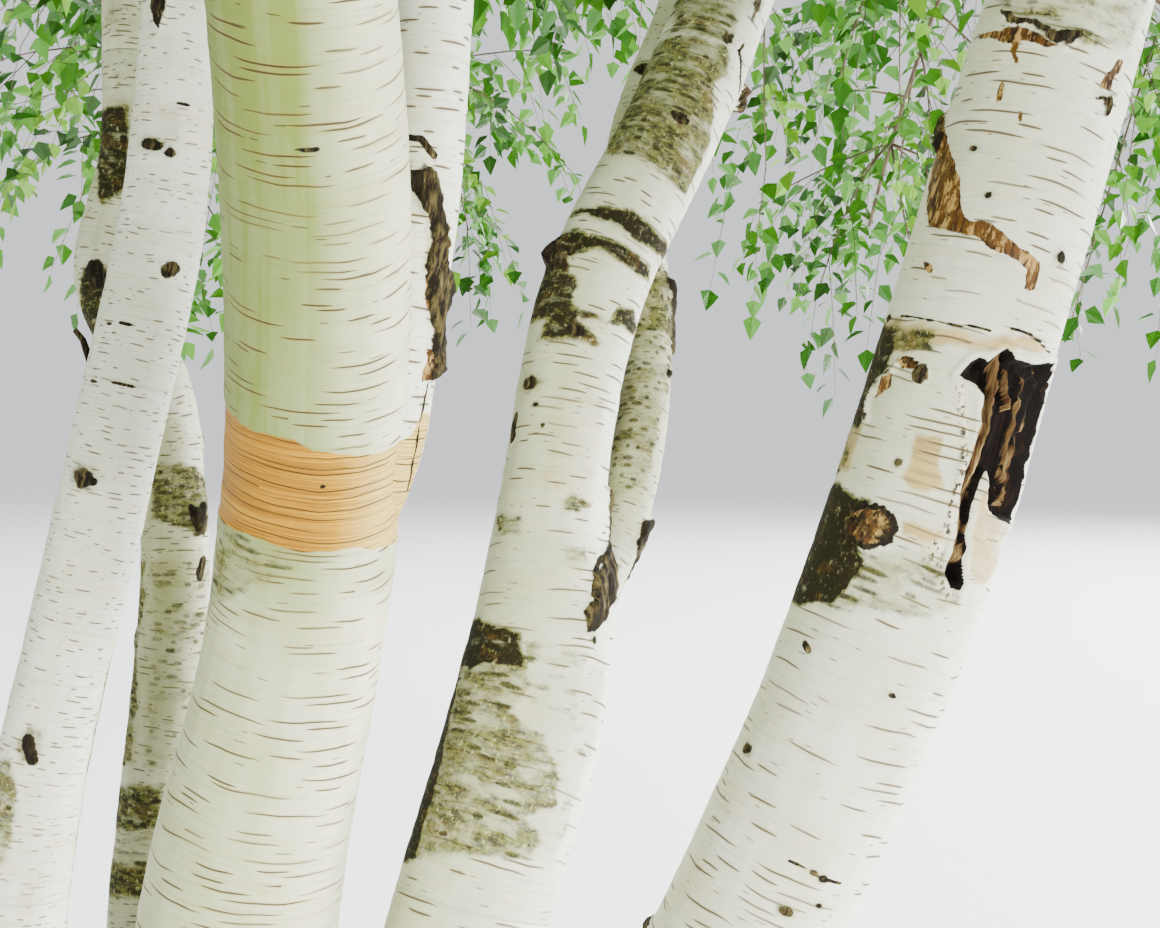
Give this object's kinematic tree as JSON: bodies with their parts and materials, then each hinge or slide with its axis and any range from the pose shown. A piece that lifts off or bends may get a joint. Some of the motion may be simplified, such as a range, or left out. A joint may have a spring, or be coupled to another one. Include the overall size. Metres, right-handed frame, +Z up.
{
  "type": "birch tree, clump of stems from one root",
  "caption": "White-barked birch clump: leaning stems that rise from one flared root crown into an airy, drooping leafy crown.",
  "frame": {"origin": "on the flat cut under the root crown, at ground level, near the middle of the foot", "axes": "+Z up, -Y towards the viewer of the picture, +X to the viewer's right, the way that the stems lean"},
  "size_m": [6.5184, 6.3091, 11.8608],
  "materials": {
    "white_bark": "papery white bark with fine brown lenticels across it, satin",
    "root_bark": "grey-white bark broken by dark cracks, matt",
    "bough_bark": "smooth brown bark that pales towards the stem, satin",
    "foliage": "fresh green leaves, slightly glossy above"
  },
  "bodies": {
    "root": {"root_crown": "root_bark", "front_stem": "white_bark", "right_stem": "white_bark", "middle_stem": "white_bark", "left_stem": "white_bark", "elbow_stem": "white_bark", "front_fork_stem": "white_bark", "middle_fork_stem": "white_bark", "low_bough_1": "bough_bark", "low_bough_2": "bough_bark", "low_bough_3": "bough_bark", "low_bough_4": "bough_bark", "low_bough_5": "bough_bark", "low_bough_6": "bough_bark", "low_bough_7": "bough_bark", "mid_bough_1": "bough_bark", "mid_bough_2": "bough_bark", "mid_bough_3": "bough_bark", "mid_bough_4": "bough_bark", "mid_bough_5": "bough_bark", "mid_bough_6": "bough_bark", "mid_bough_7": "bough_bark", "high_bough_1": "bough_bark", "high_bough_2": "bough_bark", "high_bough_3": "bough_bark", "high_bough_4": "bough_bark", "high_bough_5": "bough_bark", "crown_front_stem": "foliage", "crown_right_stem": "foliage", "crown_middle_stem": "foliage", "crown_left_stem": "foliage", "crown_elbow_stem": "foliage", "crown_front_fork_stem": "foliage", "crown_middle_fork_stem": "foliage", "low_mass_1": "foliage", "low_mass_2": "foliage", "low_mass_3": "foliage", "low_mass_4": "foliage", "low_mass_5": "foliage", "low_mass_6": "foliage", "low_mass_7": "foliage", "mid_mass_1": "foliage", "mid_mass_2": "foliage", "mid_mass_3": "foliage", "mid_mass_4": "foliage", "mid_mass_5": "foliage", "mid_mass_6": "foliage", "mid_mass_7": "foliage", "high_mass_1": "foliage", "high_mass_2": "foliage", "high_mass_3": "foliage", "high_mass_4": "foliage", "high_mass_5": "foliage"}
  },
  "joints": []
}
